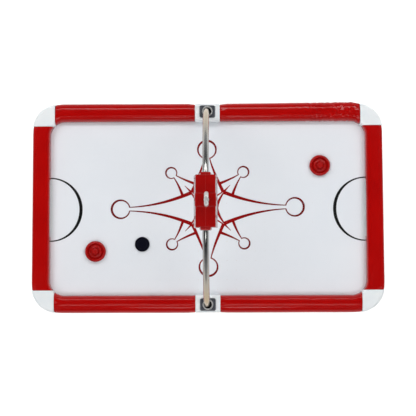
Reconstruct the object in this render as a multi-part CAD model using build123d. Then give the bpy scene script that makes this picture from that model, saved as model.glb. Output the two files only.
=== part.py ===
from build123d import *
import os
from math import atan2, cos, degrees, hypot, pi, sin, tan

# A six-foot home air hockey table with an overhead scorer on a hoop.
# Millimetres, +X along the table, +Y across it towards the rear, +Z up, origin on the floor under
# the table's centre. Each sub-part goes to its own file in parts/.

# ---- driving dimensions -------------------------------------------------------------------------
TABLE_L = 1830.0          # over the corner caps
TABLE_W = 1090.0
SURFACE_Z = 762.0         # playing surface above the floor
RAIL_W = 88.0             # rail, inner wall to outer wall
RAIL_H = 50.0             # rail top above the playing surface
RAIL_OUT_R = 133.0        # plan radius of the rail's outer corner
RAIL_IN_R = 76.0          # plan radius of the rail's inner corner
CAST_PROUD = 2.0          # castings stand this far outside the rails
CAST_CHAMFER = 1.8        # at their square ends
CAST_CUT = 117.0          # casting's square ends, from the table's extremes
SOCKET_L = 129.0          # casting that holds the hoop, along the rail
COVER_T = 4.0             # padded cover over the rail's timber core
SKIRT_DROP = 24.0         # rail's outer lip below the playing surface
SKIRT_T = 24.0
PLAYFIELD_T = 12.0
HOLE_PITCH = 50.0         # air holes
HOLE_R = 1.0
PRINT_T = 0.2             # printed vinyl
PRINT_TURN = 0.6          # degrees, the star is laid a little askew
CABINET_INSET = 6.0       # cabinet wall inside the rail's outer wall
CABINET_T = 18.0
CABINET_Z = 590.0         # underside of the cabinet
CORNER_L = 160.0          # corner post, along each wall
HOOP_X = -5.0             # hoop's plane
HOOP_R = 502.0            # centre line of the hoop
HOOP_Z = SURFACE_Z + 20.0 # centre of the hoop
TUBE_R = 15.5
TUBE_T = 2.0
SCORER_HALF_L = 124.0
SCORER_NOSE = 13.5        # how far each nose stands out of the box's end
SCORER_HALF_H = 38.0
SCORER_TOP = 47.0         # half widths
SCORER_FOOT = 57.0
SCORER_T = 3.0
SEAM_W = 2.4              # groove along the joint of the scorer's halves
SEAM_D = 1.2
EYE_R = 26.0              # lifting eye, ring's centre line
EYE_WIRE = 10.0
EYE_X = HOOP_X + 4.0
EYE_Y = 5.0
PUCK_R = 38.5
PUCK_H = 7.0
PUCK_XY = (-343.0, -189.0)
MALLET_R = 54.0
MALLETS = {"left": (-587.0, -226.0), "right": (588.0, 221.0)}
AIR_GAP = 0.6             # film of air under the puck and the mallets
GOAL_HALF = 150.0
GOAL_H = 26.0
BLOWER_X = -300.0
INLET_X = -520.0
LOOSE = 0.1               # clearance of a part in its place

# ---- worked out ---------------------------------------------------------------------------------
RAIL_X = TABLE_L / 2 - CAST_PROUD
RAIL_Y = TABLE_W / 2 - CAST_PROUD
IN_X = RAIL_X - RAIL_W
IN_Y = RAIL_Y - RAIL_W
RAIL_TOP = SURFACE_Z + RAIL_H
SKIRT_Z = SURFACE_Z - SKIRT_DROP
PANEL_Z = SURFACE_Z - PLAYFIELD_T
WELL_X = RAIL_X - SKIRT_T          # inside of the lip, which the playfield lies within
WELL_Y = RAIL_Y - SKIRT_T
WELL_R = RAIL_OUT_R - SKIRT_T
CAB_X = RAIL_X - CABINET_INSET
CAB_Y = RAIL_Y - CABINET_INSET
CAB_R = RAIL_OUT_R - CABINET_INSET
POST_X = CAB_X - CORNER_L          # where a wall meets a corner post
POST_Y = CAB_Y - CORNER_L
CUT_X = TABLE_L / 2 - CAST_CUT
CUT_Y = TABLE_W / 2 - CAST_CUT
PLENUM_Z = 700.0                   # underside of the plenum's floor
PLENUM_T = 9.0
APEX_Z = HOOP_Z + HOOP_R
SOCKET_Y = HOOP_R
SIDES = (("left", -1), ("right", 1))
ENDS = (("front", -1), ("rear", 1))

os.makedirs("parts", exist_ok=True)


def save(name, *shapes):
    """Write one node: one solid, or a group of separate solids."""
    solids = [s for shape in shapes for s in shape.solids()]
    export_step(solids[0] if len(solids) == 1 else Compound(solids), f"parts/{name}.step")


def block(x0, x1, y0, y1, z0, z1):
    return Pos((x0 + x1) / 2, (y0 + y1) / 2, (z0 + z1) / 2) * Box(x1 - x0, y1 - y0, z1 - z0)


def rod(x, y, z0, z1, radius):
    """An upright cylinder."""
    return Pos(x, y, (z0 + z1) / 2) * Cylinder(radius, z1 - z0)


def slab(half_x, half_y, radius, z0, z1):
    """A rounded rectangle, extruded."""
    return Pos(0, 0, z0) * extrude(RectangleRounded(2 * half_x, 2 * half_y, radius), z1 - z0)


def ranked(sign, low, high):
    """The range low..high on the given side of zero, in rising order."""
    return (low, high) if sign > 0 else (-high, -low)


def quadrant(shape, sx, sy):
    """A shape built at +X +Y, mirrored into another quadrant."""
    if sx < 0:
        shape = mirror(shape, about=Plane.YZ)
    if sy < 0:
        shape = mirror(shape, about=Plane.XZ)
    return shape


# ---- rails, their cores and the castings --------------------------------------------------------
def rail_ring(grow, outer_round, inner_round, top):
    """The whole ring of rails: both walls moved out of the section by grow, top edges rounded."""
    ring = slab(RAIL_X + grow, RAIL_Y + grow, RAIL_OUT_R + grow, SKIRT_Z, top)
    ring = fillet(ring.edges().group_by(Axis.Z)[-1], outer_round)
    ring -= slab(IN_X - grow, IN_Y - grow, RAIL_IN_R - grow, SKIRT_Z - 1, top + 1)
    rim = [e for e in ring.edges().group_by(Axis.Z)[-1]
           if abs(e.center().X) < IN_X - grow + 1 and abs(e.center().Y) < IN_Y - grow + 1]
    ring = fillet(rim, inner_round)
    return ring - slab(WELL_X, WELL_Y, WELL_R, SKIRT_Z - 1, SURFACE_Z)


def rail_boxes():
    """Name and cutting box of each of the six rails."""
    edge = SOCKET_L / 2
    far = TABLE_L
    for end, sy in ENDS:
        for side, sx in SIDES:
            x0, x1 = ranked(sx, edge, CUT_X)
            y0, y1 = ranked(sy, 300, far)
            yield f"rail_{end}_{side}", block(x0, x1, y0, y1, 700, 900)
    for side, sx in SIDES:
        x0, x1 = ranked(sx, 700, far)
        yield f"rail_end_{side}", block(x0, x1, -CUT_Y, CUT_Y, 700, 900)


def goal_slot(sx):
    """The slot a puck goes through, in the foot of an end rail."""
    x0, x1 = ranked(sx, IN_X - 10, WELL_X - 4)
    return block(x0, x1, -GOAL_HALF, GOAL_HALF, SURFACE_Z - 1, SURFACE_Z + GOAL_H)


def bolt_places():
    """Where a bolt comes up through the playfield into a rail or a casting."""
    side_y = IN_Y + 21
    end_x = IN_X + 25
    rails = [(x, sy * side_y) for x in (-650, -400, -150, 150, 400, 650) for sy in (-1, 1)]
    rails += [(sx * end_x, y) for sx in (-1, 1) for y in (-360, -220, 220, 360)]
    sockets = [(x, sy * side_y) for x in (-48, 48) for sy in (-1, 1)]
    caps = [(sx * (CUT_X + 40), sy * (CUT_Y + 40)) for sx in (-1, 1) for sy in (-1, 1)]
    return rails, sockets, caps


def drilled(shape, places, radius, z0, z1):
    """A shape with upright holes at those places, cut together."""
    return shape - Compound([rod(x, y, z0, z1, radius) for x, y in places])


def eased(casting):
    """A casting with the edges of its square ends chamfered, above the playing surface."""
    ends = []
    for face in casting.faces().filter_by(GeomType.PLANE):
        at, normal = face.center(), face.normal_at()
        on_x = abs(normal.X) > 0.99 and abs(abs(at.X) - CUT_X) < 0.1 or abs(abs(at.X) - SOCKET_L / 2) < 0.1
        on_y = abs(normal.Y) > 0.99 and abs(abs(at.Y) - CUT_Y) < 0.1
        if on_x or on_y:
            ends += [e for e in face.edges() if e.center().Z > SURFACE_Z + 1]
    return chamfer(ends, CAST_CHAMFER)


def make_rails():
    rails, sockets, caps = bolt_places()
    whole = rail_ring(0, 34, 26, RAIL_TOP)
    inner = rail_ring(-COVER_T, 36, 28, RAIL_TOP - COVER_T)
    slots = Compound([goal_slot(-1), goal_slot(1)])
    covers = whole - inner - slots
    cores = drilled(inner - slots, rails, 3 + LOOSE, SURFACE_Z - 1, SURFACE_Z + 30)
    core_parts = []
    for name, box in rail_boxes():
        save(name, covers & box)
        core_parts.append(cores & box)
    save("rail_cores", *core_parts)

    cast = rail_ring(CAST_PROUD, 14, 16, RAIL_TOP + CAST_PROUD)
    hollow = rail_ring(-4, 8, 10, RAIL_TOP - 4)
    for end, sy in ENDS:
        for side, sx in SIDES:
            x0, x1 = ranked(sx, CUT_X, TABLE_L)
            y0, y1 = ranked(sy, CUT_Y, TABLE_W)
            cap = eased(cast & block(x0, x1, y0, y1, 700, 900))
            x0, x1 = ranked(sx, CUT_X + 4, TABLE_L)
            y0, y1 = ranked(sy, CUT_Y + 4, TABLE_W)
            cap -= hollow & block(x0, x1, y0, y1, 700, 900)
            boss = [(x, y) for x, y in caps if x * sx > 0 and y * sy > 0]
            cap += rod(*boss[0], SURFACE_Z, RAIL_TOP - 3, 10)
            save(f"corner_cap_{end}_{side}", drilled(cap, boss, 3 + LOOSE, SURFACE_Z - 1, SURFACE_Z + 30))
    for end, sy in ENDS:
        y0, y1 = ranked(sy, 300, TABLE_W)
        socket = eased(cast & block(-SOCKET_L / 2, SOCKET_L / 2, y0, y1, 700, 900))
        places = [(x, y) for x, y in sockets if y * sy > 0]
        socket = drilled(socket, places, 3 + LOOSE, SURFACE_Z - 1, SURFACE_Z + 30)
        socket -= rod(0, sy * SOCKET_Y, SURFACE_Z - 1, RAIL_TOP + 5, COLLAR_HOLE)
        save(f"arch_socket_{end}", socket)

    bolts = []
    for x, y in rails + sockets + caps:
        bolt = rod(x, y, PANEL_Z, SURFACE_Z + 28, 3)
        bolt += rod(x, y, PANEL_Z - 5, PANEL_Z, 6)
        bolts.append(bolt)
    save("rail_bolts", *bolts)


# ---- hoop and its seats -------------------------------------------------------------------------
COLLAR_HOLE = 21.0
COLLAR_R = 27.5
BOSS_T = 6.0
CAST_TOP = RAIL_TOP + CAST_PROUD


def hoop(radius, start, stop):
    """A length of the hoop as a solid bar; angles in degrees up from the rear foot."""
    profile = Pos(HOOP_X, HOOP_R, HOOP_Z) * Circle(radius)
    arc = revolve(profile, Axis((0, 0, HOOP_Z), (1, 0, 0)), stop - start)
    return Pos(0, 0, HOOP_Z) * Rot(start, 0, 0) * Pos(0, 0, -HOOP_Z) * arc


def make_hoop():
    foot = SURFACE_Z + 3
    outer = hoop(TUBE_R, 0, 90) + rod(HOOP_X, HOOP_R, foot, HOOP_Z, TUBE_R)
    inner = hoop(TUBE_R - TUBE_T, 0, 90) + rod(HOOP_X, HOOP_R, foot - 1, HOOP_Z, TUBE_R - TUBE_T)
    rear = outer - inner
    save("arch_tube_rear", rear)
    save("arch_tube_front", mirror(rear, about=Plane.XZ))
    sleeve = TUBE_R - TUBE_T - LOOSE
    save("arch_joiner", hoop(sleeve, 84, 96) - hoop(sleeve - 2, 83, 97))

    plates, collars, bushes = [], [], []
    for sy in (-1, 1):
        y = sy * SOCKET_Y
        plate = Pos(0, y, CAST_TOP) * extrude(RectangleRounded(80, 64, 9), BOSS_T)
        plate = chamfer(plate.edges().group_by(Axis.Z)[-1], 1.5)
        plates.append(plate - rod(0, y, CAST_TOP - 1, CAST_TOP + 9, COLLAR_HOLE))
        collar = rod(0, y, CAST_TOP + BOSS_T, CAST_TOP + BOSS_T + 5, COLLAR_R)
        collar = fillet(collar.edges().group_by(Axis.Z)[-1], 3)
        collars.append(collar - rod(0, y, CAST_TOP, CAST_TOP + 20, COLLAR_HOLE))
        bush = rod(0, y, SURFACE_Z + LOOSE, RAIL_TOP - 14, COLLAR_HOLE - LOOSE)
        bore = hoop(TUBE_R + LOOSE, 0, 20) + rod(HOOP_X, HOOP_R, SURFACE_Z + 3 - LOOSE, HOOP_Z, TUBE_R + LOOSE)
        bushes.append(bush - (bore if sy > 0 else mirror(bore, about=Plane.XZ)))
    save("socket_plates", *plates)
    save("socket_collars", *collars)
    save("arch_bushes", *bushes)


# ---- overhead scorer ----------------------------------------------------------------------------
WINDOW_L = 200.0
WINDOW_H = 50.0
WINDOW_T = 2.5
BOARD_IN = 9.0            # display board behind the window
NOSE_W = 0.52             # the noses' section, as parts of the box's
NOSE_H = 0.86
SCREWS = ((-110, 27), (110, 27), (-60, -31), (60, -31))


def prism(points, y0, y1):
    """An outline in X and Z about the hoop's top, run along Y."""
    face = make_face(Polyline([(HOOP_X + x, 0, APEX_Z + z) for x, z in points], close=True))
    return Pos(0, y0, 0) * extrude(face, y1 - y0, dir=(0, 1, 0))


def scorer_form(inset):
    """The closed outer form of the scorer, or with an inset its hollow."""
    side = [(-SCORER_FOOT + inset, -SCORER_HALF_H + inset), (SCORER_FOOT - inset, -SCORER_HALF_H + inset),
            (SCORER_TOP - inset, SCORER_HALF_H - inset), (-SCORER_TOP + inset, SCORER_HALF_H - inset)]
    reach = SCORER_HALF_L - inset
    box = prism(side, -reach, reach)
    nose_reach = reach + SCORER_NOSE
    nose = prism([(NOSE_W * x, NOSE_H * z) for x, z in side], -nose_reach, nose_reach)
    if inset == 0:
        box = fillet(box.edges().filter_by(Axis.Y), 5)
        box = fillet(box.edges().group_by(Axis.Y)[0] + box.edges().group_by(Axis.Y)[-1], 2.5)
        nose = fillet(nose.edges().group_by(Axis.Y)[0] + nose.edges().group_by(Axis.Y)[-1], 7)
    return box + nose


def slope_plane(sx, out):
    """The sloping side's plane, moved out of the box: its x runs along the table's width."""
    lean = atan2(SCORER_FOOT - SCORER_TOP, 2 * SCORER_HALF_H)
    normal = (sx * cos(lean), 0, sin(lean))
    mid = (SCORER_FOOT + SCORER_TOP) / 2
    origin = (HOOP_X + sx * mid + out * normal[0], 0, APEX_Z + out * normal[2])
    return Plane(origin=origin, x_dir=(0, 1, 0), z_dir=normal)


def digit(place_y, place_z, height):
    """The seven bars of one digit, flat in a local plane."""
    width = 0.55 * height
    t = 0.13 * height
    flats = [(0, s * (height - t) / 2, width - 1.5 * t, t) for s in (-1, 0, 1)]
    ups = [(sx * (width - t) / 2, sz * height / 4, t, height / 2 - 1.2 * t) for sx in (-1, 1) for sz in (-1, 1)]
    return [Pos(place_y + y, place_z + z, 0.4) * Box(w, h, 0.8) for y, z, w, h in flats + ups]


def make_scorer():
    band = prism([(-SCORER_FOOT - 2.5, -SCORER_HALF_H - 2.5), (SCORER_FOOT + 2.5, -SCORER_HALF_H - 2.5),
                  (SCORER_TOP + 2.5, SCORER_HALF_H + 3), (-SCORER_TOP - 2.5, SCORER_HALF_H + 3)],
                 EYE_Y - 32, EYE_Y + 32)
    band = fillet(band.edges().filter_by(Axis.Y), 6)
    band = chamfer(band.edges().group_by(Axis.Y)[0] + band.edges().group_by(Axis.Y)[-1], 2)
    lid_only = block(-90, 90, -60, 70, APEX_Z + SCORER_HALF_H - 9, APEX_Z + 60)
    groove_z = APEX_Z + SCORER_HALF_H - SEAM_D
    nose_z = APEX_Z + NOSE_H * SCORER_HALF_H - SEAM_D
    groove_x = (HOOP_X - SEAM_W / 2, HOOP_X + SEAM_W / 2)
    grooves = block(*groove_x, -SCORER_HALF_L, SCORER_HALF_L, groove_z, groove_z + 20)
    for sy in (-1, 1):
        ends = ranked(sy, SCORER_HALF_L, SCORER_HALF_L + SCORER_NOSE + 1)
        grooves += block(*groove_x, *ends, nose_z, nose_z + 20)
    form = scorer_form(0) + (band & lid_only)
    hollow = scorer_form(SCORER_T)
    passage = hoop(TUBE_R + LOOSE, 60, 120)
    eye_top = APEX_Z + SCORER_HALF_H + 3
    boards, digits = [], []
    for side, sx in SIDES:
        plane = slope_plane(sx, 0)
        lo, hi = ranked(sx, 0.05, 200)
        this_side = block(HOOP_X + lo, HOOP_X + hi, -200, 200, APEX_Z - 80, APEX_Z + 80)
        half = (form & this_side) - hollow - passage
        inside = scorer_form(1.0) & this_side
        for y, z in SCREWS:
            post = Pos(HOOP_X + sx * 30, y, APEX_Z + z) * Rot(0, 90, 0) * Cylinder(5, 59.9)
            half += post & inside
        for y, z in SCREWS:
            bore = Pos(HOOP_X, y, APEX_Z + z) * Rot(0, 90, 0)
            half -= bore * Cylinder(1.6, 64)
            half -= bore * Pos(0, 0, -50) * Cylinder(3.3, 40)
        half -= grooves
        half -= plane * Box(WINDOW_L, WINDOW_H, 3 * SCORER_T)
        half -= Pos(EYE_X, EYE_Y, eye_top - 20) * Cylinder(6, 60)
        save(f"scorer_shell_{side}", half)
        window = plane * Pos(0, 0, -0.6 - WINDOW_T / 2) * Box(WINDOW_L - 0.2, WINDOW_H - 0.2, WINDOW_T)
        save(f"scorer_window_{side}", window)
        board = slope_plane(sx, -BOARD_IN)
        boards.append(board * Pos(0, 0, -0.8) * Box(180, 42, 1.6))
        for place in (-60, -30, 30, 60):
            digits += [board * bar for bar in digit(place, 0, 34)]
    save("scorer_boards", *boards)
    save("scorer_digits", *digits)

    screws = []
    for y, z in SCREWS:
        place = Pos(HOOP_X, y, APEX_Z + z) * Rot(0, 90, 0)
        screws.append(place * Cylinder(1.5, 60) + place * Pos(0, 0, -31.5) * Cylinder(3, 3))
    save("scorer_screws", *screws)

    ring = Pos(EYE_X, EYE_Y, eye_top + EYE_R + EYE_WIRE + 3) * Rot(0, 90, 0) * Torus(EYE_R, EYE_WIRE)
    stem = rod(EYE_X, EYE_Y, eye_top - 14, eye_top + 8, 5.9)
    stem += rod(EYE_X, EYE_Y, eye_top + LOOSE, eye_top + 5, 13)
    save("scorer_eye", ring + stem)


# ---- playfield and its printed lines ------------------------------------------------------------
RING_BIG = (457.5, 309.0)      # centres of the four large rings, along X and along Y
RING_SMALL = (189.5, 188.0)    # centres of the four small rings
GOAL_NOTCH_X = IN_X + 7
CREASE_R = 168.5
CREASE_Y = -6.0                # both arcs are laid a little towards the front


def air_holes():
    columns = int((IN_X - 20) // HOLE_PITCH)
    rows = int((IN_Y - 5) // HOLE_PITCH)
    return [(x * HOLE_PITCH, (y + 0.5) * HOLE_PITCH) for x in range(-columns, columns + 1)
            for y in range(-rows, rows)]


def punched(face, z):
    """A face with the air holes that fall wholly inside its outline."""
    wires = [Wire.make_circle(HOLE_R, Plane((x, y, z))) for x, y in air_holes()]
    return face.make_holes(wires)


def stroke(start, bend, end, start_w, end_w):
    """A tapering brush stroke along a quadratic curve."""
    def offset(point, along, width):
        length = hypot(*along)
        return (point[0] - along[1] / length * width, point[1] + along[0] / length * width)

    first = (bend[0] - start[0], bend[1] - start[1])
    last = (end[0] - bend[0], end[1] - bend[1])
    whole = (end[0] - start[0], end[1] - start[1])
    rows = []
    for side in (-0.5, 0.5):
        rows.append([offset(start, first, side * start_w), offset(bend, whole, side * (start_w + end_w) / 2),
                     offset(end, last, side * end_w)])
    low, high = rows
    edges = [Bezier(*low), Line(low[2], high[2]), Bezier(*high[::-1]), Line(high[0], low[0])]
    return make_face(Wire(edges))


def crescent_ring(x, y, radius, line, gap):
    """A ring with its thickest line on the side away from the table's centre, open on the near side."""
    away = hypot(x, y)
    shift = 0.3 * line
    hole = Pos(x - shift * x / away, y - shift * y / away) * Circle(radius - line)
    opening = Rot(0, 0, degrees(atan2(y, x))) * Pos(away - radius, 0) * Rectangle(radius, gap)
    return Pos(x, y) * Circle(radius) - hole - opening


def star_quarter():
    """The strokes of one quarter of the star, at +X +Y: two long limbs, a small limb and a split point."""
    limbs = stroke((409, 9.5), (235, 16.5), (82, 84), 4.5, 20)
    limbs += stroke((13.8, 262), (27.4, 200), (86, 76), 5, 18)
    limbs += stroke((175, 161.8), (147.5, 118), (130, 65), 5, 15)
    limbs += stroke((163.6, 173.4), (115.4, 147), (62, 128), 5, 15)
    split = make_face(Polyline((97, 97), (47, 66), (47, 38), close=True))
    point = stroke((119, 119), (58.6, 57.9), (46, -1), 3, 18)
    point += stroke((119, 119), (57.9, 58.6), (-1, 46), 3, 13)
    return limbs - split + point


def make_print():
    quarter = star_quarter()
    star = quarter
    for sx, sy in ((-1, 1), (-1, -1), (1, -1)):
        star += quadrant(quarter, sx, sy)
    big_x, big_y = RING_BIG
    rings = [(s * big_x, 0, 52, 9, 15) for s in (-1, 1)] + [(0, s * big_y, 52, 9, 23) for s in (-1, 1)]
    rings += [(sx * RING_SMALL[0], sy * RING_SMALL[1], 32.2, 7.2, 12) for sx in (-1, 1) for sy in (-1, 1)]
    for x, y, radius, line, gap in rings:
        star -= Pos(x, y) * Circle(radius - line / 2)
    for ring in rings:
        star += crescent_ring(*ring)
    star = Rot(0, 0, PRINT_TURN) * star
    holes = Compound([rod(x, y, SURFACE_Z - 5, SURFACE_Z + 5, HOLE_R) for x, y in air_holes()
                      if abs(x) < 520 and abs(y) < 370])
    star_print = Pos(0, 0, SURFACE_Z) * extrude(star, PRINT_T)
    save("centre_print", star_print - holes)

    arcs = []
    for sx in (-1, 1):
        arc = Pos(sx * IN_X, CREASE_Y) * (Circle(CREASE_R) - Ellipse(CREASE_R - 17, CREASE_R - 6.5))
        x0, x1 = ranked(sx, 600, IN_X - 0.2)
        arc = Pos(0, 0, SURFACE_Z) * extrude(arc, PRINT_T) & block(x0, x1, -200, 200, 700, 800)
        near = Compound([rod(x, y, SURFACE_Z - 5, SURFACE_Z + 5, HOLE_R) for x, y in air_holes()
                         if x * sx > 600 and abs(y) < 200])
        arcs.append(arc - near)
    save("crease_prints", *arcs)


def make_playfield():
    rails, sockets, caps = bolt_places()
    sheet = RectangleRounded(2 * WELL_X - 4, 2 * WELL_Y - 4, WELL_R - 2)
    for sx in (-1, 1):
        x0, x1 = ranked(sx, GOAL_NOTCH_X, TABLE_L)
        sheet -= Pos((x0 + x1) / 2, 0) * Rectangle(x1 - x0, 2 * GOAL_HALF)
    face = punched(Pos(0, 0, PANEL_Z) * sheet.face(), PANEL_Z)
    panel = extrude(face, PLAYFIELD_T, dir=(0, 0, 1))
    save("playfield", drilled(panel, rails + sockets + caps, 3 + LOOSE, PANEL_Z - 1, SURFACE_Z + 1))


# ---- cabinet, plenum and goals ------------------------------------------------------------------
POCKET_IN = 806.0         # inner wall of the goal's pocket
POCKET_Z = 640.0
POCKET_T = 3.0
MOUTH_HALF = 130.0        # window that a hand reaches in by
MOUTH_Z = (655.0, 712.0)
CLEAT_HALF = 30.0
CLEAT_Z = (606.0, 694.0)


def cleat_boxes():
    """Each cleat behind a joint of wall and post: its box, the way out, and its two bolt places."""
    z0, z1 = CLEAT_Z
    for sy in (-1, 1):
        for sx in (-1, 1):
            y0, y1 = ranked(sy, WELL_Y - 18, WELL_Y)
            mid = sx * POST_X
            yield (block(mid - CLEAT_HALF, mid + CLEAT_HALF, y0, y1, z0, z1), (0, sy),
                   [(mid + s * 16, sy * (WELL_Y - 18)) for s in (-1, 1)])
            x0, x1 = ranked(sx, WELL_X - 18, WELL_X)
            mid = sy * POST_Y
            yield (block(x0, x1, mid - CLEAT_HALF, mid + CLEAT_HALF, z0, z1), (sx, 0),
                   [(sx * (WELL_X - 18), mid + s * 16) for s in (-1, 1)])


def lying_rod(x, y, way, start, stop, radius):
    """A level cylinder from a point on a cleat's inner face, along its way out."""
    middle = (start + stop) / 2
    turn = Rot(0, 90, 0) if way[0] else Rot(90, 0, 0)
    return Pos(x + way[0] * middle, y + way[1] * middle, 650) * turn * Cylinder(radius, stop - start)


def lower_leg():
    """The tapering post under the cabinet's corner at +X +Y."""
    def section(size, z):
        outline = Pos(CAB_X - 6, CAB_Y - 6, z) * Rectangle(size, size, align=(Align.MAX, Align.MAX))
        corner = outline.vertices().sort_by_distance(Vertex(CAB_X, CAB_Y, z))[0]
        return fillet(corner, 60)

    return loft([section(76, LEG_Z).face(), section(116, CABINET_Z).face()])


LEG_Z = 36.0
FOOT_R = 32.0
STUD_R = 6.0
FOOT_X = CAB_X - 6 - 40
FOOT_Y = CAB_Y - 6 - 40


def make_cabinet():
    ring = slab(CAB_X, CAB_Y, CAB_R, CABINET_Z, SKIRT_Z)
    ring -= slab(WELL_X, WELL_Y, WELL_R, CABINET_Z - 1, SKIRT_Z + 1)
    cleats, bolts, bolt_holes = [], [], []
    for cleat, way, places in cleat_boxes():
        for x, y in places:
            bolts.append(lying_rod(x, y, way, 0, 30, 4) + lying_rod(x, y, way, -5, 0, 7))
            bolt_holes.append(lying_rod(x, y, way, -1, 31, 4 + LOOSE))
            cleat -= bolt_holes[-1]
        cleats.append(cleat)
    save("corner_cleats", *cleats)
    save("cabinet_bolts", *bolts)
    ring -= Compound(bolt_holes)

    for end, sy in ENDS:
        y0, y1 = ranked(sy, 400, TABLE_W)
        wall = ring & block(-POST_X, POST_X, y0, y1, 500, 800)
        if sy > 0:
            wall -= block(INLET_X - 46, INLET_X + 46, 400, 600, 637, 673)
        save(f"apron_{end}", wall)
    for side, sx in SIDES:
        x0, x1 = ranked(sx, 700, TABLE_L)
        wall = ring & block(x0, x1, -POST_Y, POST_Y, 500, 800)
        wall -= block(x0, x1, -MOUTH_HALF - 2, MOUTH_HALF + 2, MOUTH_Z[0] - 2, MOUTH_Z[1] + 2)
        save(f"apron_{side}", wall)

    floor = slab(WELL_X - 1, WELL_Y - 1, WELL_R - 1, CABINET_Z, CABINET_Z + 12)
    lower = lower_leg()
    for end, sy in ENDS:
        for side, sx in SIDES:
            x0, x1 = ranked(sx, POST_X, TABLE_L)
            y0, y1 = ranked(sy, POST_Y, TABLE_W)
            corner = block(x0, x1, y0, y1, 500, 800)
            leg = (ring & corner) + (floor & corner) + quadrant(lower, sx, sy)
            leg -= rod(sx * FOOT_X, sy * FOOT_Y, LEG_Z - 1, LEG_Z + 90, STUD_R + 0.06)
            save(f"leg_{end}_{side}", leg)
            foot = fillet(rod(sx * FOOT_X, sy * FOOT_Y, 0, 16, FOOT_R).edges().group_by(Axis.Z)[-1], 5)
            hexagon = Pos(sx * FOOT_X, sy * FOOT_Y, 16) * extrude(RegularPolygon(13, 6), LEG_Z - 16)
            stud = rod(sx * FOOT_X, sy * FOOT_Y, LEG_Z, LEG_Z + 84, STUD_R)
            save(f"leveler_{end}_{side}", foot + hexagon + stud)


def make_plenum():
    top = PLENUM_Z + PLENUM_T
    wall_x = POCKET_IN - 6
    floor = block(-wall_x, wall_x, -WELL_Y + 22.5, WELL_Y - 22.5, PLENUM_Z, top)
    save("plenum_floor", floor - rod(BLOWER_X, 0, PLENUM_Z - 1, top + 1, BLOWER_NECK + 1))
    battens = []
    for sy in (-1, 1):
        y0, y1 = ranked(sy, WELL_Y - 22, WELL_Y)
        battens.append(block(-POST_X, POST_X, y0, y1, PLENUM_Z, PANEL_Z))
    for sx in (-1, 1):
        x0, x1 = ranked(sx, wall_x - 22, wall_x)
        battens.append(block(x0, x1, -WELL_Y + 22.5, WELL_Y - 22.5, top, PANEL_Z))
        for sy in (-1, 1):
            x0, x1 = ranked(sx, WELL_X - 22, WELL_X)
            y0, y1 = ranked(sy, 158, POST_Y)
            battens.append(block(x0, x1, y0, y1, PLENUM_Z, PANEL_Z))
    for x in (-575, -25, 275, 575):
        battens.append(block(x - 11, x + 11, -400, 400, top, PANEL_Z))
    save("plenum_battens", *[drilled(b, air_holes_near(b), HOLE_R + 1, PANEL_Z - 6, PANEL_Z + 1) for b in battens])


def air_holes_near(batten):
    """Air holes that end above a batten, which has a small relief under each."""
    box = batten.bounding_box()
    near = [(x, y) for x, y in air_holes()
            if box.min.X - 3 < x < box.max.X + 3 and box.min.Y - 3 < y < box.max.Y + 3]
    return near or [(TABLE_L, TABLE_W)]


def make_goals():
    for side, sx in SIDES:
        x0, x1 = ranked(sx, POCKET_IN, WELL_X - 0.5)
        half = GOAL_HALF + POCKET_T + 3
        tray = block(x0, x1, -half, half, POCKET_Z, PANEL_Z)
        x0, x1 = ranked(sx, POCKET_IN + POCKET_T, WELL_X - 0.5 - POCKET_T)
        tray -= block(x0, x1, -half + POCKET_T, half - POCKET_T, POCKET_Z + POCKET_T, PANEL_Z + 1)
        x0, x1 = ranked(sx, WELL_X - 10, TABLE_L)
        tray -= block(x0, x1, -MOUTH_HALF, MOUTH_HALF, *MOUTH_Z)
        save(f"goal_pocket_{side}", tray)


# ---- blower, inlet and lead ---------------------------------------------------------------------
BLOWER_NECK = 60.0
DRUM_R = 96.0
DRUM_Z = 622.0
MOTOR_R = 31.0
SHAFT_R = 4.0
INLET_Z = 655.0
ROCKER_X = INLET_X + 24
ROCKER_TILT = 8.0
LEAD_R = 3.5


def make_blower():
    drum = rod(BLOWER_X, 0, DRUM_Z, 694, DRUM_R) - rod(BLOWER_X, 0, DRUM_Z + 3, 691, DRUM_R - 3)
    drum += rod(BLOWER_X, 0, 694, PLENUM_Z, DRUM_R + 16) + rod(BLOWER_X, 0, PLENUM_Z, 712, BLOWER_NECK)
    drum -= rod(BLOWER_X, 0, 690, 720, BLOWER_NECK - 3)
    drum -= rod(BLOWER_X, 0, DRUM_Z - 1, DRUM_Z + 5, 9)
    port = Pos(BLOWER_X, 0, DRUM_Z)
    drum -= Compound([port * place * Cylinder(14, 10) for place in PolarLocations(50, 8)])
    save("blower_housing", drum)

    motor = rod(BLOWER_X, 0, 594, DRUM_Z, MOTOR_R) + rod(BLOWER_X, 0, DRUM_Z, DRUM_Z + 40, SHAFT_R)
    motor = motor - rod(BLOWER_X, 0, 593, 597, MOTOR_R - 6)
    save("blower_motor", motor)

    wheel = rod(BLOWER_X, 0, DRUM_Z + 52, DRUM_Z + 56, 82)
    wheel += rod(BLOWER_X, 0, DRUM_Z + 12, DRUM_Z + 52, 14)
    blades = []
    for location in PolarLocations(56, 12):
        blades.append(Pos(BLOWER_X, 0, DRUM_Z + 34) * location * Rot(0, 0, 40) * Box(36, 2.5, 37))
    for blade in blades:
        wheel += blade
    wheel += rod(BLOWER_X, 0, DRUM_Z + 14, DRUM_Z + 17, 82) - rod(BLOWER_X, 0, DRUM_Z + 13, DRUM_Z + 18, 40)
    wheel -= rod(BLOWER_X, 0, DRUM_Z + 11, DRUM_Z + 41, SHAFT_R + 0.06)
    save("blower_impeller", wheel)


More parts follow.
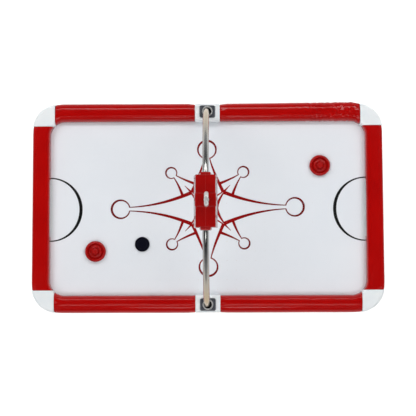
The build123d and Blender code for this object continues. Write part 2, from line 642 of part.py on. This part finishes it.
def make_inlet():
    face_y = CAB_Y
    plate = block(INLET_X - 52, INLET_X + 52, face_y, face_y + 3, INLET_Z - 24, INLET_Z + 24)
    plate = fillet(plate.edges().filter_by(Axis.Y), 4)
    cup_x = INLET_X - 22
    plate += block(cup_x - 18, cup_x + 18, face_y - 28, face_y, INLET_Z - 14, INLET_Z + 14)
    plate -= block(cup_x - 15, cup_x + 15, face_y - 25, face_y + 4, INLET_Z - 11, INLET_Z + 11)
    for x, z in ((-8, -3), (0, 3), (8, -3)):
        plate += block(cup_x + x - 1, cup_x + x + 1, face_y - 25.5, face_y - 8, INLET_Z + z - 2, INLET_Z + z + 2)
    plate += block(ROCKER_X - 13, ROCKER_X + 13, face_y - 20, face_y, INLET_Z - 17, INLET_Z + 17)
    plate -= block(ROCKER_X - 8.6, ROCKER_X + 8.6, face_y - 17, face_y + 4, INLET_Z - 14.2, INLET_Z + 14.2)
    pivot = Pos(ROCKER_X, face_y - 3, INLET_Z) * Rot(0, 90, 0)
    plate -= pivot * Cylinder(1.55, 22)
    save("power_inlet", plate)

    outline = [(5.6, -12.4), (3.2, 0), (5.6, 12.4), (1, 12.8), (-6, 7), (-6, -7), (1, -12.8)]
    face = make_face(Polyline([(0, y, z) for y, z in outline], close=True))
    rocker = extrude(face, 8.2, both=True, dir=(1, 0, 0)) + Rot(0, 90, 0) * Cylinder(1.5, 20)
    save("rocker_switch", Pos(ROCKER_X, face_y - 3, INLET_Z) * Rot(-ROCKER_TILT, 0, 0) * rocker)

    points = [(INLET_X - 22, face_y - 28.2, INLET_Z), (INLET_X - 22, 455, 655), (INLET_X - 6, 405, 678),
              (INLET_X + 22, 355, 692), (INLET_X + 56, 310, 695), (INLET_X + 86, 265, 694),
              (INLET_X + 118, 222, 687), (INLET_X + 145, 184, 664), (INLET_X + 166, 150, 634),
              (INLET_X + 186, 112, 613), (INLET_X + 213, 76, 606), (BLOWER_X, MOTOR_R + 0.8, 606)]
    radii = []
    for a, b, c in zip(points, points[1:], points[2:]):
        before, after = Vector(b) - Vector(a), Vector(c) - Vector(b)
        shorter = min(before.length, after.length)
        radii.append(0.45 * shorter / tan(before.get_angle(after) / 2 * pi / 180))
    path = FilletPolyline(*points, radius=radii)
    lead = sweep(Plane(origin=path @ 0, z_dir=path % 0) * Circle(LEAD_R), path)
    save("blower_lead", lead)
    print("lead length", round(path.length, 1), "radii", [round(r) for r in radii],
          "volume ratio", round(lead.volume / (path.length * pi * LEAD_R ** 2), 4))


# ---- puck and mallets ---------------------------------------------------------------------------
def make_game_pieces():
    z = SURFACE_Z + AIR_GAP
    puck = fillet(rod(*PUCK_XY, z, z + PUCK_H, PUCK_R).edges().filter_by(GeomType.CIRCLE), 1.5)
    dish = Pos(*PUCK_XY, z + PUCK_H) * Cone(23.5, 25.5, 1.6)
    save("puck", puck - dish)
    pad_t = 2.0
    knob = [(0, 5), (0, 40), (9, 39.5), (15, 36), (18, 30), (19.5, 20), (22, 15)]
    dish = [(28, 13), (33, 12), (35.5, 8.5), (37, 8.5), (39.5, 12)]
    rim = [(41, 19), (44, 21.5), (48, 20), (MALLET_R, 14), (MALLET_R, 3), (49, 0), (12, 0), (12, 5)]
    profile = make_face(Polyline([(r, 0, h) for r, h in knob + dish + rim], close=True))
    body = revolve(profile, Axis.Z, 360)
    edges = [e for e in body.edges().filter_by(GeomType.CIRCLE) if e.center().Z > 11 and e.radius > 8]
    body = fillet(edges, 0.8)
    for side, (x, y) in MALLETS.items():
        save(f"mallet_{side}", Pos(x, y, z + pad_t) * body)
        save(f"mallet_pad_{side}", rod(x, y, z, z + pad_t, 47) - rod(x, y, z - 1, z + pad_t + 1, 15))


make_playfield()
make_print()
make_rails()
make_hoop()
make_scorer()
make_cabinet()
make_plenum()
make_goals()
make_blower()
make_inlet()
make_game_pieces()
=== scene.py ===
from math import cos, hypot, pi, radians, sin, sqrt

import bmesh
import bpy
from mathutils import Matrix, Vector, noise


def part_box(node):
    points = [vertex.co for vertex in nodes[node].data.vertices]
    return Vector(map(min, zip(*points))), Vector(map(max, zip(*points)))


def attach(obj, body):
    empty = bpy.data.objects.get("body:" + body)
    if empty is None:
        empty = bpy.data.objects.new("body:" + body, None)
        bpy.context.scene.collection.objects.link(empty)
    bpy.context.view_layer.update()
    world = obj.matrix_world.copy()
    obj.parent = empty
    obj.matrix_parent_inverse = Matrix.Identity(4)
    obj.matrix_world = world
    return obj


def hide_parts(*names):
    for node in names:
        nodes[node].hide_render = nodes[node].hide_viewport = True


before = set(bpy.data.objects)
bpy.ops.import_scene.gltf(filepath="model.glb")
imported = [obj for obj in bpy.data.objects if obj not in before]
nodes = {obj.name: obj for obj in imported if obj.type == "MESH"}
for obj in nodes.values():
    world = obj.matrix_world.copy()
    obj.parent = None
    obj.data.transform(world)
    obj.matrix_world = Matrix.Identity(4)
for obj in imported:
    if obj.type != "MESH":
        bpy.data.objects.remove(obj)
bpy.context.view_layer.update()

MM = 0.001

# Places read from the frame.
SURFACE_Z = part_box("playfield")[1].z
RAIL_LOW, RAIL_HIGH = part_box("rail_rear_right")
RAIL_TOP = RAIL_HIGH.z
OUT_Y = RAIL_HIGH.y                       # outer wall of the long rails
OUT_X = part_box("rail_end_right")[1].x     # outer wall of the end rails
SKIRT_Z = RAIL_LOW.z

WORLD_STRENGTH = 1.0
FLOOR_GLOW = 0.6
FLOOR_SIZE = 40.0
FILL_POWER = 101.0
STAR_RED = 150 * MM                       # the star's ink is red up to here, measured along both axes
STAR_MAROON = 420 * MM                    # and maroon from here on
TAN_REFLECTION_BELOW = SURFACE_Z + 200 * MM          # painted reflection: the hoop's plating is tinted tan below here, fading to none at the height below
REFLECTION_GONE_ABOVE = SURFACE_Z + 460 * MM


# ---- camera, light and floor --------------------------------------------------------------------
def make_camera():
    data = bpy.data.cameras.new("camera")
    data.lens = 85.2
    data.sensor_width = 36
    data.clip_end = 60
    camera = bpy.data.objects.new("camera", data)
    camera.location = (0.0487, -0.3162, SURFACE_Z + 5.154)
    camera.rotation_euler = (radians(3.513), radians(0.535), radians(-0.18))
    bpy.context.scene.collection.objects.link(camera)
    bpy.context.scene.camera = camera


def softbox(name, tilt, distance, length, width, power, mirror=True, turn=0.0):
    """A softbox leaned from overhead towards the rear by tilt and aimed at the middle of the table.
    Its long side runs along the table. turn swings it about the table's middle."""
    data = bpy.data.lights.new(name, "AREA")
    data.shape = "RECTANGLE"
    data.size = length
    data.size_y = width
    data.energy = power
    light = bpy.data.objects.new(name, data)
    away = Vector((-sin(radians(turn)) * sin(radians(tilt)), cos(radians(turn)) * sin(radians(tilt)),
                   cos(radians(tilt)))) * distance
    light.location = Vector((0, 0, SURFACE_Z)) + away
    light.rotation_euler = away.to_track_quat("Z", "Y").to_euler()
    light.visible_glossy = mirror
    bpy.context.scene.collection.objects.link(light)


def make_world():
    world = bpy.data.worlds.new("studio")
    bpy.context.scene.world = world
    world.use_nodes = True
    tree = world.node_tree
    tree.nodes.clear()
    out = tree.nodes.new("ShaderNodeOutputWorld")
    back = tree.nodes.new("ShaderNodeBackground")
    ramp = tree.nodes.new("ShaderNodeValToRGB")
    split = tree.nodes.new("ShaderNodeSeparateXYZ")
    coords = tree.nodes.new("ShaderNodeTexCoord")
    stops = ramp.color_ramp.elements
    stops[0].position, stops[0].color = 0.0, (0.55, 0.56, 0.58, 1)
    stops[1].position, stops[1].color = 0.62, (0.03, 0.03, 0.032, 1)
    tree.links.new(coords.outputs["Generated"], split.inputs[0])
    tree.links.new(split.outputs["Z"], ramp.inputs[0])
    tree.links.new(ramp.outputs[0], back.inputs["Color"])
    back.inputs["Strength"].default_value = WORLD_STRENGTH
    tree.links.new(back.outputs[0], out.inputs["Surface"])


def make_floor():
    bpy.ops.mesh.primitive_plane_add(size=FLOOR_SIZE, location=(0, 0, 0))
    floor = bpy.context.object
    floor.name = "floor"
    paint = Shader("floor_paint")
    paint.set("Base Color", (0.86, 0.86, 0.86, 1))
    paint.set("Roughness", 0.9)
    paint.set("Emission Color", (1, 1, 1, 1))
    paint.set("Emission Strength", FLOOR_GLOW)
    paint.dress(floor)


# ---- materials ----------------------------------------------------------------------------------
class Shader:
    """A Principled material with short calls for procedural detail in the object's own coordinates."""

    def __init__(self, name):
        self.material = bpy.data.materials.new(name)
        self.material.use_nodes = True
        self.tree = self.material.node_tree
        self.bsdf = self.tree.nodes["Principled BSDF"]
        self.place = self.tree.nodes.new("ShaderNodeTexCoord").outputs["Object"]
        self.normal = None

    def set(self, socket, value):
        self.bsdf.inputs[socket].default_value = value

    def link(self, source, target):
        self.tree.links.new(source, target)

    def to(self, source, socket):
        self.link(source, self.bsdf.inputs[socket])

    def stretched(self, scale):
        mapping = self.tree.nodes.new("ShaderNodeMapping")
        mapping.inputs["Scale"].default_value = scale
        self.link(self.place, mapping.inputs["Vector"])
        return mapping.outputs[0]

    def noise(self, scale, detail=4.0, stretch=None):
        made = self.tree.nodes.new("ShaderNodeTexNoise")
        made.inputs["Scale"].default_value = scale
        made.inputs["Detail"].default_value = detail
        made.inputs["Roughness"].default_value = 0.55
        self.link(self.stretched(stretch) if stretch else self.place, made.inputs["Vector"])
        return made.outputs["Fac"]

    def cells(self, scale):
        made = self.tree.nodes.new("ShaderNodeTexVoronoi")
        made.inputs["Scale"].default_value = scale
        self.link(self.place, made.inputs["Vector"])
        return made.outputs["Distance"]

    def axis(self, letter):
        split = self.tree.nodes.new("ShaderNodeSeparateXYZ")
        self.link(self.place, split.inputs[0])
        return split.outputs[letter]

    def span(self, value, low, high, out_low, out_high):
        made = self.tree.nodes.new("ShaderNodeMapRange")
        made.inputs["From Min"].default_value = low
        made.inputs["From Max"].default_value = high
        made.inputs["To Min"].default_value = out_low
        made.inputs["To Max"].default_value = out_high
        self.link(value, made.inputs["Value"])
        return made.outputs[0]

    def math(self, operation, a, b):
        made = self.tree.nodes.new("ShaderNodeMath")
        made.operation = operation
        for value, socket in zip((a, b), made.inputs):
            if isinstance(value, (int, float)):
                socket.default_value = value
            else:
                self.link(value, socket)
        return made.outputs[0]

    def mix(self, factor, first, second):
        made = self.tree.nodes.new("ShaderNodeMix")
        made.data_type = "RGBA"
        self.link(factor, made.inputs["Factor"])
        for value, socket in ((first, made.inputs[6]), (second, made.inputs[7])):
            if isinstance(value, tuple):
                socket.default_value = (*value, 1)
            else:
                self.link(value, socket)
        return made.outputs[2]

    def bump(self, height, distance, strength=1.0):
        made = self.tree.nodes.new("ShaderNodeBump")
        made.inputs["Distance"].default_value = distance
        made.inputs["Strength"].default_value = strength
        self.link(height, made.inputs["Height"])
        if self.normal is not None:
            self.link(self.normal, made.inputs["Normal"])
        self.normal = made.outputs[0]
        self.to(self.normal, "Normal")

    def painted_crevice_shade(self, distance):
        """Mask for painted shade: 0 deep in crevices, 1 in the open."""
        made = self.tree.nodes.new("ShaderNodeAmbientOcclusion")
        made.samples = 6
        made.inputs["Distance"].default_value = distance
        return self.span(made.outputs["AO"], 0.25, 0.85, 0, 1)

    def edge_wear(self, radius):
        """1 along worn outer edges, 0 elsewhere, from the difference of a rounded normal."""
        bevel = self.tree.nodes.new("ShaderNodeBevel")
        bevel.samples = 4
        bevel.inputs["Radius"].default_value = radius
        geometry = self.tree.nodes.new("ShaderNodeNewGeometry")
        dot = self.tree.nodes.new("ShaderNodeVectorMath")
        dot.operation = "DOT_PRODUCT"
        self.link(bevel.outputs[0], dot.inputs[0])
        self.link(geometry.outputs["Normal"], dot.inputs[1])
        return self.span(dot.outputs["Value"], 0.995, 0.93, 0, 1)

    def dress(self, *objects):
        for thing in objects:
            slots = thing.data.materials
            if slots:
                for i in range(len(slots)):
                    slots[i] = self.material
            else:
                slots.append(self.material)


def red_vinyl():
    s = Shader("red_vinyl")
    blotch = s.noise(6, 3)
    s.to(s.mix(s.span(blotch, 0.3, 0.7, 0, 1), (0.40, 0.0012, 0.001), (0.46, 0.002, 0.0015)), "Base Color")
    s.to(s.span(s.noise(30, 4), 0.3, 0.7, 0.09, 0.16), "Roughness")
    s.set("Specular IOR Level", 0.5)
    s.bump(s.cells(1100), 0.00006, 0.5)
    s.bump(s.noise(220, 3), 0.00008, 0.35)
    return s


def white_laminate():
    s = Shader("white_laminate")
    cloud = s.span(s.noise(2.2, 4), 0.3, 0.7, 0, 1)
    s.to(s.mix(cloud, (0.81, 0.845, 0.89), (0.85, 0.88, 0.915)), "Base Color")
    scuffs = s.span(s.noise(9, 6, stretch=(1, 4, 1)), 0.45, 0.75, 0, 0.1)
    s.to(s.math("ADD", scuffs, 0.3), "Roughness")
    s.set("Specular IOR Level", 0.25)
    s.bump(s.noise(260, 2), 0.00003, 0.3)
    return s


def red_print():
    """Red ink near the middle of the star, maroon out along its thin limbs."""
    s = Shader("red_print")
    out = s.math("ADD", s.math("ABSOLUTE", s.axis("X"), 0), s.math("ABSOLUTE", s.axis("Y"), 0))
    uneven = s.span(s.noise(9, 3), 0, 1, -0.03, 0.03)
    limb = s.span(s.math("ADD", out, uneven), STAR_RED, STAR_MAROON, 0, 1)
    s.to(s.mix(limb, (0.30, 0.0006, 0.001), (0.15, 0.0005, 0.0015)), "Base Color")
    s.to(s.span(s.noise(12, 5), 0.3, 0.7, 0.32, 0.44), "Roughness")
    s.set("Specular IOR Level", 0.2)
    return s


def silver_cast():
    s = Shader("silver_cast")
    worn = s.edge_wear(0.0015)
    tone = s.span(s.noise(14, 5), 0.3, 0.7, 0, 1)
    skin = s.mix(worn, s.mix(tone, (0.90, 0.95, 0.97), (0.96, 0.985, 0.99)), (0.99, 0.99, 0.99))
    # painted shade: the casting turns dark grey in crevices and where parts meet
    s.to(s.mix(s.painted_crevice_shade(0.016), (0.30, 0.32, 0.34), skin), "Base Color")
    s.set("Metallic", 0.12)
    s.to(s.span(s.noise(60, 5, stretch=(1, 1, 3)), 0.3, 0.7, 0.28, 0.42), "Roughness")
    s.bump(s.noise(420, 3), 0.0001, 0.4)
    s.bump(s.noise(18, 2), 0.0012, 0.25)
    return s


def plain(name, low, high, scale, rough, metallic=0.0, grain=None, coat=0.0, wear=None):
    """A two-tone material with its own roughness break-up and fine grain."""
    s = Shader(name)
    colour = s.mix(s.span(s.noise(scale, 4), 0.3, 0.7, 0, 1), low, high)
    if wear:
        colour = s.mix(s.edge_wear(0.0012), colour, wear)
    s.to(colour, "Base Color")
    s.set("Metallic", metallic)
    s.to(s.span(s.noise(scale * 3.1, 5), 0.3, 0.7, *rough), "Roughness")
    s.set("Coat Weight", coat)
    s.set("Coat Roughness", 0.05)
    if grain:
        s.bump(s.noise(grain[0], 3), grain[1], 0.5)
    return s


def chrome_tube():
    """Nickel plating, with a painted tan reflection towards the feet."""
    s = Shader("tube_plating")
    height = s.math("ADD", s.axis("Z"), s.span(s.noise(7, 3), 0, 1, -0.06, 0.06))
    # painted reflection: tan towards the feet, fading out higher up
    tan_reflection = s.span(height, TAN_REFLECTION_BELOW, REFLECTION_GONE_ABOVE, 1, 0)
    s.to(s.mix(tan_reflection, (0.42, 0.425, 0.415), (0.34, 0.245, 0.125)), "Base Color")
    s.set("Metallic", 1.0)
    s.to(s.span(s.noise(40, 4, stretch=(4, 1, 1)), 0.3, 0.7, 0.10, 0.2), "Roughness")
    s.bump(s.noise(90, 2), 0.00006, 0.5)
    return s


def timber():
    s = Shader("timber")
    rings = s.noise(3.0, 5, stretch=(1, 14, 14))
    s.to(s.mix(s.span(rings, 0.35, 0.65, 0, 1), (0.42, 0.27, 0.14), (0.60, 0.42, 0.25)), "Base Color")
    s.to(s.span(s.noise(120, 3, stretch=(1, 12, 12)), 0.3, 0.7, 0.55, 0.8), "Roughness")
    s.bump(s.noise(160, 3, stretch=(1, 14, 14)), 0.0003, 0.6)
    return s


def black_laminate():
    s = Shader("black_laminate")
    pores = s.noise(70, 5, stretch=(1, 16, 16))
    base = s.mix(s.span(pores, 0.35, 0.7, 0, 1), (0.010, 0.010, 0.011), (0.026, 0.025, 0.026))
    s.to(s.mix(s.edge_wear(0.0015), base, (0.09, 0.085, 0.08)), "Base Color")
    s.to(s.span(s.noise(12, 5), 0.3, 0.7, 0.30, 0.42), "Roughness")
    s.bump(pores, 0.0002, 0.5)
    return s


def window_pane():
    s = Shader("display_window")
    s.to(s.mix(s.span(s.noise(40, 3), 0.3, 0.7, 0, 1), (0.44, 0.38, 0.40), (0.52, 0.46, 0.48)), "Base Color")
    s.to(s.span(s.noise(90, 3), 0.3, 0.7, 0.05, 0.12), "Roughness")
    s.set("Alpha", 0.86)
    s.set("IOR", 1.49)
    return s


def felt():
    s = Shader("felt")
    s.to(s.mix(s.noise(700, 3), (0.42, 0.42, 0.41), (0.62, 0.62, 0.60)), "Base Color")
    s.set("Roughness", 0.95)
    s.set("Sheen Weight", 0.4)
    s.bump(s.noise(900, 4), 0.0006, 0.8)
    return s


CORNERS = [f"{end}_{side}" for end in ("front", "rear") for side in ("left", "right")]


def group(*names):
    """Nodes by name, a name ending in * standing for all four corners."""
    found = []
    for name in names:
        found += [nodes[name[:-1] + c] for c in CORNERS] if name.endswith("*") else [nodes[name]]
    return found


def dress_nodes():
    white_laminate().dress(*group("playfield"))
    silver_cast().dress(*group("corner_cap_*", "arch_socket_front", "arch_socket_rear"))
    timber().dress(*group("rail_cores", "plenum_floor", "plenum_battens", "corner_cleats"))
    black_laminate().dress(*group("apron_front", "apron_rear", "apron_left", "apron_right", "leg_*"))
    window_pane().dress(*group("scorer_window_left", "scorer_window_right"))
    felt().dress(*group("mallet_pad_left", "mallet_pad_right"))
    red_print().dress(*group("centre_print"))
    plain("black_print", (0.0015, 0.0015, 0.0015), (0.003, 0.003, 0.0034), 8, (0.3, 0.4)).dress(
        *group("crease_prints"))
    plain("dark_plate", (0.10, 0.11, 0.13), (0.16, 0.17, 0.19), 40, (0.35, 0.5), 0.7, (500, 0.0001),
          wear=(0.45, 0.46, 0.48)).dress(*group("socket_plates"))
    plain("satin_plating", (0.62, 0.62, 0.60), (0.78, 0.78, 0.76), 9, (0.22, 0.34), 0.55,
          (300, 0.0001)).dress(*group("socket_collars", "scorer_eye"))
    chrome_tube().dress(*group("arch_tube_front", "arch_tube_rear"))
    plain("steel", (0.45, 0.45, 0.46), (0.60, 0.60, 0.61), 30, (0.25, 0.4), 1.0, (400, 0.0001)).dress(
        *group("arch_joiner", "scorer_screws", "rail_bolts", "cabinet_bolts", "leveler_*"))
    plain("rubber", (0.008, 0.008, 0.008), (0.016, 0.016, 0.016), 40, (0.6, 0.75), 0.0, (300, 0.0002)).dress(
        *group("arch_bushes", "blower_lead"))
    plain("red_moulding", (0.30, 0.0025, 0.002), (0.36, 0.003, 0.0025), 10, (0.14, 0.24), 0.0, (90, 0.0002),
          0.5, (0.48, 0.02, 0.02)).dress(*group("scorer_shell_left", "scorer_shell_right"))
    plain("display_bars", (0.10, 0.006, 0.006), (0.16, 0.01, 0.01), 60, (0.2, 0.3)).dress(
        *group("scorer_digits"))
    plain("board", (0.012, 0.02, 0.018), (0.02, 0.03, 0.026), 60, (0.4, 0.5)).dress(*group("scorer_boards"))
    plain("black_plastic", (0.012, 0.012, 0.013), (0.024, 0.024, 0.026), 30, (0.42, 0.56), 0.0, (600, 0.0003),
          wear=(0.06, 0.06, 0.06)).dress(
        *group("goal_pocket_left", "goal_pocket_right", "blower_housing", "power_inlet"))
    plain("motor_enamel", (0.20, 0.21, 0.23), (0.28, 0.29, 0.31), 25, (0.35, 0.5), 0.3, (200, 0.0003)).dress(
        *group("blower_motor"))
    plain("grey_plastic", (0.20, 0.20, 0.21), (0.27, 0.27, 0.28), 20, (0.4, 0.55), 0.0, (500, 0.0002)).dress(
        *group("blower_impeller"))
    plain("rocker_red", (0.32, 0.006, 0.006), (0.38, 0.01, 0.01), 50, (0.2, 0.3)).dress(
        *group("rocker_switch"))
    puck = plain("puck_black", (0.0012, 0.0015, 0.006), (0.002, 0.0024, 0.009), 60, (0.3, 0.42), 0.0,
                 (700, 0.0001), wear=(0.02, 0.02, 0.026))
    puck.set("Specular IOR Level", 0.25)
    puck.dress(*group("puck"))
    mallet = plain("mallet_red", (0.34, 0.0012, 0.001), (0.44, 0.002, 0.0015), 30, (0.26, 0.38), 0.0,
                   (220, 0.00015), 0.1, (0.40, 0.004, 0.003))
    mallet.set("Specular IOR Level", 0.3)
    mallet.dress(*group("mallet_left", "mallet_right"))


# ---- padded rails -------------------------------------------------------------------------------
RAIL_WIDTH = 88 * MM
OUT_RADIUS = 133 * MM         # plan radii of the ring of rails at its corners
IN_RADIUS = 76 * MM
COVER = 4 * MM                # cover over the timber core
CORE_OUTER = 36 * MM          # rounding of the core's top edges
CORE_INNER = 28 * MM
SHOULDER = 37 * MM            # height of the rounded top
GOAL_HALF = 150 * MM
GOAL_TOP = SURFACE_Z + 26 * MM
BULGES = {"rail_front_left": (3.5 * MM, 4 * MM), "rail_front_right": (3.5 * MM, 3 * MM),
          "rail_rear_left": (7 * MM, 6 * MM), "rail_rear_right": (6 * MM, 12 * MM),
          "rail_end_left": (3.5 * MM, 2 * MM), "rail_end_right": (4 * MM, 1.5 * MM)}
CROWN_POINTS = 76
WALL_POINTS = 7
ROW_STEP = 3.6 * MM           # rows of points along a rail
SKIN = 0.1 * MM               # the cover's lining stands this far off the core
LIFT = 0.3 * MM               # and its inner foot off the playfield
SLACK = 0.2 * MM              # how far the vinyl lies inside its smooth form
TUCK = 2.2 * MM               # turned in at the rail's ends
LONG_CROWN = 2.4              # powers of the cover's rounded top: a fuller curve on the end rails
END_CROWN = 4.6
LONG_RIB = 0.022 * MM
END_RIB = 0.02 * MM
LONG_PUCKER = 1.6 * MM
END_PUCKER = 0.9 * MM
CREASED_FROM = 470 * MM       # the rear right rail's vinyl is creased from here to its end


def plan_wall(along, wall, reach, radius):
    """Distance of a rail's wall from the table's middle, at a place along the rail."""
    past = abs(along) - (reach - radius)
    return wall if past <= 0 else wall - radius + sqrt(max(0.0, radius ** 2 - past ** 2))


def core_top(v, width):
    """Top of the timber core at v across the rail, from its outer wall."""
    outer, inner = COVER + CORE_OUTER - v, v - (width - COVER - CORE_INNER)
    top = RAIL_TOP - COVER
    if outer > 0:
        return top - CORE_OUTER + sqrt(max(0.0, CORE_OUTER ** 2 - outer ** 2))
    if inner > 0:
        return top - CORE_INNER + sqrt(max(0.0, CORE_INNER ** 2 - inner ** 2))
    return top


def cover_section(width, power, foot):
    """Pairs of (v, z) points, outside and inside of the cover, from the outer hem over to the inner foot."""
    spring = RAIL_TOP - SHOULDER
    outside = [(0.0, SKIRT_Z + (spring - SKIRT_Z) * i / WALL_POINTS) for i in range(WALL_POINTS)]
    for i in range(CROWN_POINTS + 1):
        turn = pi * (1 - i / CROWN_POINTS)
        side = cos(turn)
        across = abs(side) ** (2 / power) * (1 if side > 0 else -1)
        outside.append(((1 + across) / 2 * width, spring + SHOULDER * max(0.0, sin(turn)) ** (2 / power)))
    outside += [(width, spring + (foot - spring) * i / WALL_POINTS) for i in range(1, WALL_POINTS + 1)]
    if foot > spring:
        outside = [(v, z) for v, z in outside if v < width / 2 or z >= foot]
    inside = []
    for v, z in outside:
        held = COVER - SKIN + v / width * (width - 2 * COVER + 2 * SKIN)
        inside.append((held, min(z - 0.5 * MM, core_top(held, width) + SKIN) if z > spring else z))
    return outside, inside


def rail_relief(along, v, width, run, seed, ribs, puckers, rough_from):
    """Height of the vinyl over its smooth form: lengthwise ribs, soft sag, gathers at the ends, wrinkles."""
    to_end = min(along - run[0], run[1] - along)
    spot = Vector((along * 9 + seed * 3.1, v * 30, seed * 1.7))
    slow = noise.noise(spot) * 0.3 * MM
    wander = noise.noise(Vector((along * 5, v * 12, seed * 2.3 + 9))) * 2.2 * MM
    rib = sin((v + wander) / (8.5 * MM) * 2 * pi) * ribs
    fade = max(0.0, 1 - to_end / (55 * MM)) ** 2
    gather = noise.noise(Vector((along * 14, v * 95 + seed, seed * 4.2))) * puckers * fade
    crush = 0.0
    if rough_from is not None:
        part = max(0.0, min(1.0, (along - rough_from) / (90 * MM)))
        crush = noise.noise(Vector((along * 62 + v * 25, v * 48, seed + 3.3))) * 2.0 * MM * part
        crush += noise.noise(Vector((along * 140, v * 110, seed + 7.9))) * 0.8 * MM * part
    return slow + rib + gather + crush


def skin_mesh(name, rows, axis):
    """A closed mesh over rows of points, capped at both ends. axis 1 swaps X and Y."""
    per = len(rows[0])
    verts = [p if axis == 0 else (p[1], p[0], p[2]) for row in rows for p in row]
    faces = []
    for r in range(len(rows) - 1):
        for i in range(per):
            j = (i + 1) % per
            faces.append((r * per + i, r * per + j, (r + 1) * per + j, (r + 1) * per + i))
    half = per // 2
    for base in (0, (len(rows) - 1) * per):
        for i in range(half - 1):
            faces.append((base + i, base + i + 1, base + per - 2 - i, base + per - 1 - i))
    mesh = bpy.data.meshes.new(name)
    mesh.from_pydata(verts, [], faces)
    mesh.validate()
    fixer = bmesh.new()
    fixer.from_mesh(mesh)
    bmesh.ops.recalc_face_normals(fixer, faces=fixer.faces)
    fixer.to_mesh(mesh)
    fixer.free()
    mesh.shade_smooth()
    mesh.set_sharp_from_angle(angle=radians(50))
    return mesh


def padded_rail(name, axis, sign, run, power, seed, ribs, puckers, bulge, rough_from=None):
    """A rail's cover, swept along X (axis 0) or Y (axis 1) on the table's sign side, over its run.
    bulge is how far the stuffing pushes the outer wall out, at the start and at the end of the run."""
    wall, reach = (OUT_Y, OUT_X) if axis == 0 else (OUT_X, OUT_Y)
    count = int((run[1] - run[0]) / ROW_STEP)
    places = [run[0] + (run[1] - run[0]) * i / count for i in range(count + 1)]
    places += [run[0] + 0.7 * MM, run[0] + 1.8 * MM, run[1] - 0.7 * MM, run[1] - 1.8 * MM]
    goal = axis == 1
    if goal:
        places = [p for p in places if abs(abs(p) - GOAL_HALF) > 1 * MM]
        places += [s * (GOAL_HALF + d) for s in (-1, 1) for d in (-0.05 * MM, 0.05 * MM)]
    rows = []
    for along in sorted(places):
        outer = plan_wall(along, wall, reach, OUT_RADIUS)
        inner = plan_wall(along, wall - RAIL_WIDTH, reach - RAIL_WIDTH, IN_RADIUS)
        width = outer - inner
        slot = goal and abs(along) < GOAL_HALF
        whole, lining = cover_section(width, power, SURFACE_Z + LIFT)
        floor = GOAL_TOP if slot else SURFACE_Z + LIFT
        to_end = min(along - run[0], run[1] - along)
        tuck = TUCK * max(0.0, 1 - to_end / (4 * MM)) ** 2
        ring = []
        for i, (v, z) in enumerate(whole):
            before, after = whole[max(0, i - 1)], whole[min(len(whole) - 1, i + 1)]
            dv, dz = after[0] - before[0], after[1] - before[1]
            length = hypot(dv, dz) or 1.0
            rise = rail_relief(along, v, width, run, seed, ribs, puckers, rough_from)
            hem = min(1.0, max(0.0, (z - SKIRT_Z) / (20 * MM)))
            push = rise * hem - tuck - SLACK
            part = (along - run[0]) / (run[1] - run[0])
            swell = (bulge[0] + (bulge[1] - bulge[0]) * part) * min(1.0, 0.35 + to_end / (60 * MM))
            lean = max(0.0, 1 - 2 * v / width) ** 0.7 * min(1.0, 0.3 + (z - SKIRT_Z) / (30 * MM))
            v, z = v - dz / length * push - swell * lean, z + dv / length * push
            ring.append((v, max(z, floor) if i > WALL_POINTS + CROWN_POINTS // 2 else z))
        for v, z in reversed(lining):
            past_middle = v > width / 2
            ring.append((v, max(z, floor) if past_middle else z))
        rows.append([(along, sign * (outer - v), z) for v, z in ring])
    mesh = skin_mesh(name, rows, axis)
    rail = bpy.data.objects.new(name, mesh)
    bpy.context.scene.collection.objects.link(rail)
    return rail


def make_padded_rails(vinyl):
    for seed, end in enumerate(("front", "rear")):
        for other, side in enumerate(("left", "right")):
            node = f"rail_{end}_{side}"
            low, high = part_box(node)
            rough = CREASED_FROM if node == "rail_rear_right" else None
            rail = padded_rail(f"padded_{node}", 0, 1 if end == "rear" else -1, (low.x, high.x), LONG_CROWN,
                               seed * 2 + other + 1, LONG_RIB, LONG_PUCKER, BULGES[node], rough)
            finish_rail(rail, node, vinyl)
    for seed, side in enumerate(("left", "right")):
        node = f"rail_end_{side}"
        low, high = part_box(node)
        rail = padded_rail(f"padded_{node}", 1, 1 if side == "right" else -1, (low.y, high.y), END_CROWN,
                           seed + 6, END_RIB, END_PUCKER, BULGES[node])
        finish_rail(rail, node, vinyl)


def finish_rail(rail, node, vinyl):
    vinyl.dress(rail)
    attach(rail, "table")
    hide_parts(node)


make_camera()
make_world()
make_floor()
softbox("rear_softbox", tilt=40, distance=3.4, length=7.0, width=0.42, power=32)
softbox("front_softbox", tilt=-13, distance=4.0, length=7.0, width=0.18, power=8)
softbox("front_patch", tilt=-33, distance=3.8, length=1.2, width=0.45, power=6)
for turn in (45, 135, 225, 315):
    softbox(f"fill_{turn}", tilt=42, distance=6.5, length=4.0, width=4.0, power=FILL_POWER, mirror=False,
            turn=turn)
dress_nodes()
make_padded_rails(red_vinyl())

bpy.context.scene.view_settings.view_transform = "Standard"
